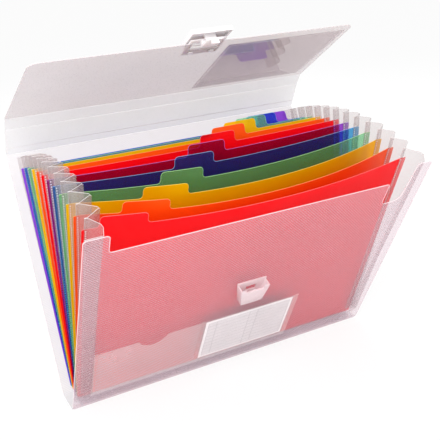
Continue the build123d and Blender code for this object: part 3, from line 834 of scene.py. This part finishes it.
def softened(node, body, width, mat):
    """A solid's mesh with its edges rounded off, in place of it."""
    mesh = nodes[node].data.copy()
    mesh.transform(nodes[node].matrix_world)
    shape = bmesh.new()
    shape.from_mesh(mesh)
    bmesh.ops.remove_doubles(shape, verts=shape.verts, dist=MESH_SEAM)
    bmesh.ops.dissolve_limit(shape, angle_limit=FLAT, verts=shape.verts, edges=shape.edges)
    shape.to_mesh(mesh)
    shape.free()
    mesh.name = node + "_soft"
    mesh.materials.clear()
    mesh.materials.append(mat)
    piece = bpy.data.objects.new(node + "_soft", mesh)
    bpy.context.scene.collection.objects.link(piece)
    bevel = piece.modifiers.new("edge", "BEVEL")
    bevel.width = width
    bevel.segments = 2
    bevel.limit_method = "ANGLE"
    bevel.angle_limit = HARD_EDGE
    settle(piece)
    piece.data.shade_smooth()
    piece.data.set_sharp_from_angle(angle=SHARP)
    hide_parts(node)
    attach(piece, body)


softened("catch_box", "front", CATCH_BEVEL, catch_with_painted_bounce)
softened("latch_base", "flap", LATCH_BEVEL, moulded)
softened("latch_lever", "lever", LEVER_BEVEL, moulded)


# World, floor, lamps and camera

WORLD_LIGHT = 0.92
FLOOR_SHARE = 0.8
FLOOR_HALF, FLOOR_LEVEL = 8, -0.6 * MM
PHOTO_SIDE, PHOTO_FOCUS = 440, 740.8
SENSOR = 36


def studio():
    """A white room, two lamps, and the camera that was fitted to the photo."""
    scene = bpy.context.scene
    scene.view_settings.view_transform = "Standard"
    scene.cycles.transparent_max_bounces = 96
    scene.cycles.max_bounces = 12

    world = bpy.data.worlds.new("studio")
    scene.world = world
    world.use_nodes = True
    tree = world.node_tree
    tree.nodes.clear()
    path = tree.nodes.new("ShaderNodeLightPath")
    first, second = tree.nodes.new("ShaderNodeMath"), tree.nodes.new("ShaderNodeMath")
    first.operation = second.operation = "MAXIMUM"
    lit, seen = tree.nodes.new("ShaderNodeBackground"), tree.nodes.new("ShaderNodeBackground")
    lit.inputs["Color"].default_value = (1, 1, 1, 1)
    lit.inputs["Strength"].default_value = WORLD_LIGHT
    seen.inputs["Color"].default_value = (1, 1, 1, 1)
    seen.inputs["Strength"].default_value = 1
    mix, out = tree.nodes.new("ShaderNodeMixShader"), tree.nodes.new("ShaderNodeOutputWorld")
    tree.links.new(path.outputs["Is Camera Ray"], first.inputs[0])
    tree.links.new(path.outputs["Is Glossy Ray"], first.inputs[1])
    tree.links.new(first.outputs[0], second.inputs[0])
    tree.links.new(path.outputs["Is Transmission Ray"], second.inputs[1])
    tree.links.new(second.outputs[0], mix.inputs[0])
    tree.links.new(lit.outputs[0], mix.inputs[1])
    tree.links.new(seen.outputs[0], mix.inputs[2])
    tree.links.new(mix.outputs[0], out.inputs["Surface"])

    mat = bpy.data.materials.new("studio_floor")
    mat.use_nodes = True
    tree = mat.node_tree
    own, out = tree.nodes["Principled BSDF"], tree.nodes["Material Output"]
    own.inputs["Base Color"].default_value = (0.9, 0.9, 0.9, 1)
    own.inputs["Roughness"].default_value = 1
    own.inputs["Specular IOR Level"].default_value = 0
    path, part = tree.nodes.new("ShaderNodeLightPath"), tree.nodes.new("ShaderNodeMath")
    glow, mix = tree.nodes.new("ShaderNodeEmission"), tree.nodes.new("ShaderNodeMixShader")
    part.operation = "MULTIPLY"
    part.inputs[1].default_value = FLOOR_SHARE
    tree.links.new(path.outputs["Is Camera Ray"], part.inputs[0])
    tree.links.new(part.outputs[0], mix.inputs[0])
    tree.links.new(own.outputs[0], mix.inputs[1])
    tree.links.new(glow.outputs[0], mix.inputs[2])
    tree.links.new(mix.outputs[0], out.inputs["Surface"])
    corners = [(x * FLOOR_HALF, y * FLOOR_HALF, FLOOR_LEVEL) for x, y in ((-1, -1), (1, -1), (1, 1), (-1, 1))]
    floor = new_piece("studio_floor", corners, [(0, 1, 2, 3)], mat)

    def lamp(name, place, aim, size, power):
        light = bpy.data.lights.new(name, "AREA")
        light.shape = "DISK"
        light.size = size
        light.energy = power
        thing = bpy.data.objects.new(name, light)
        scene.collection.objects.link(thing)
        thing.location = place
        thing.rotation_euler = (Vector(aim) - Vector(place)).to_track_quat("-Z", "Y").to_euler()

    lamp("key", place=(-0.7, -1.0, 1.2), aim=(0, 0, 0.12), size=0.9, power=18)
    lamp("back", place=(0.5, 1.1, 1.0), aim=(0, 0, 0.15), size=0.9, power=5)

    turn, tilt, roll = math.radians(26.89), math.radians(20.70), math.radians(-3.34)
    aim, distance = Vector((0.0089, 0, 0.1474)), 0.7296
    away = Vector((-math.sin(turn) * math.cos(tilt), -math.cos(turn) * math.cos(tilt), math.sin(tilt)))
    right = (-away).cross(Vector((0, 0, 1))).normalized()
    up = right.cross(-away)
    across = right * math.cos(roll) + up * math.sin(roll)
    upward = -right * math.sin(roll) + up * math.cos(roll)
    data = bpy.data.cameras.new("photo_view")
    data.sensor_width = SENSOR
    data.lens = SENSOR * PHOTO_FOCUS / PHOTO_SIDE
    data.clip_start, data.clip_end = 0.01, 50
    camera = bpy.data.objects.new("photo_view", data)
    scene.collection.objects.link(camera)
    place = aim + away * distance
    camera.matrix_world = Matrix((
        (across.x, upward.x, away.x, place.x),
        (across.y, upward.y, away.y, place.y),
        (across.z, upward.z, away.z, place.z),
        (0, 0, 0, 1),
    ))
    scene.camera = camera


studio()
